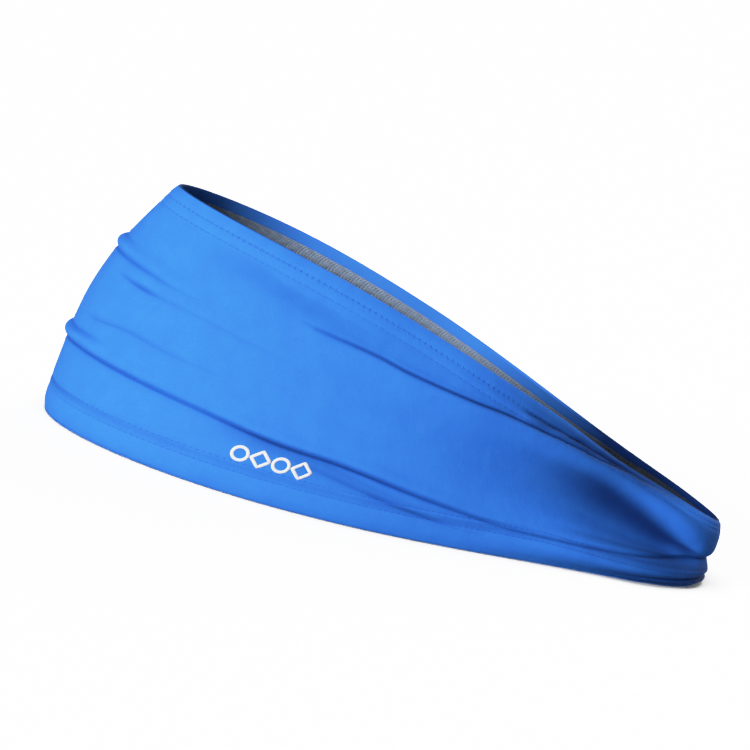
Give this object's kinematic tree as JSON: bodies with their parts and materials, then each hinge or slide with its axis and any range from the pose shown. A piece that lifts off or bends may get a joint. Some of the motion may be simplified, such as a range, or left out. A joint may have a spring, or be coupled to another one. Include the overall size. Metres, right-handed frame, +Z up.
{
  "type": "sports headband",
  "caption": "Wide tapered pull-on sports headband of stretch knit, deep at the forehead and gathered at the nape, with two turned and stitched hems.",
  "frame": {"origin": "on the floor under the middle of the band's box; the lower hem stands on z = 0", "axes": "-Y towards the forehead, +Y towards the nape, +X towards the wearer's left, +Z up"},
  "size_m": [0.1066, 0.2252, 0.0793],
  "materials": {
    "knit": "smooth matte stretch jersey",
    "needle_thread": "spun polyester sewing thread",
    "looper_thread": "textured overlock yarn",
    "white_print": "satin heat-transfer film",
    "care_print": "matte heat-transfer film"
  },
  "bodies": {
    "root": {"knit_panel": "knit", "upper_hem_outer_needle_thread": "needle_thread", "upper_hem_inner_needle_thread": "needle_thread", "upper_hem_looper_thread": "looper_thread", "lower_hem_outer_needle_thread": "needle_thread", "lower_hem_inner_needle_thread": "needle_thread", "lower_hem_looper_thread": "looper_thread", "nape_seam_left_needle_thread": "needle_thread", "nape_seam_right_needle_thread": "needle_thread", "nape_seam_looper_thread": "looper_thread", "side_mark": "white_print", "inside_care_mark": "care_print"}
  },
  "joints": []
}
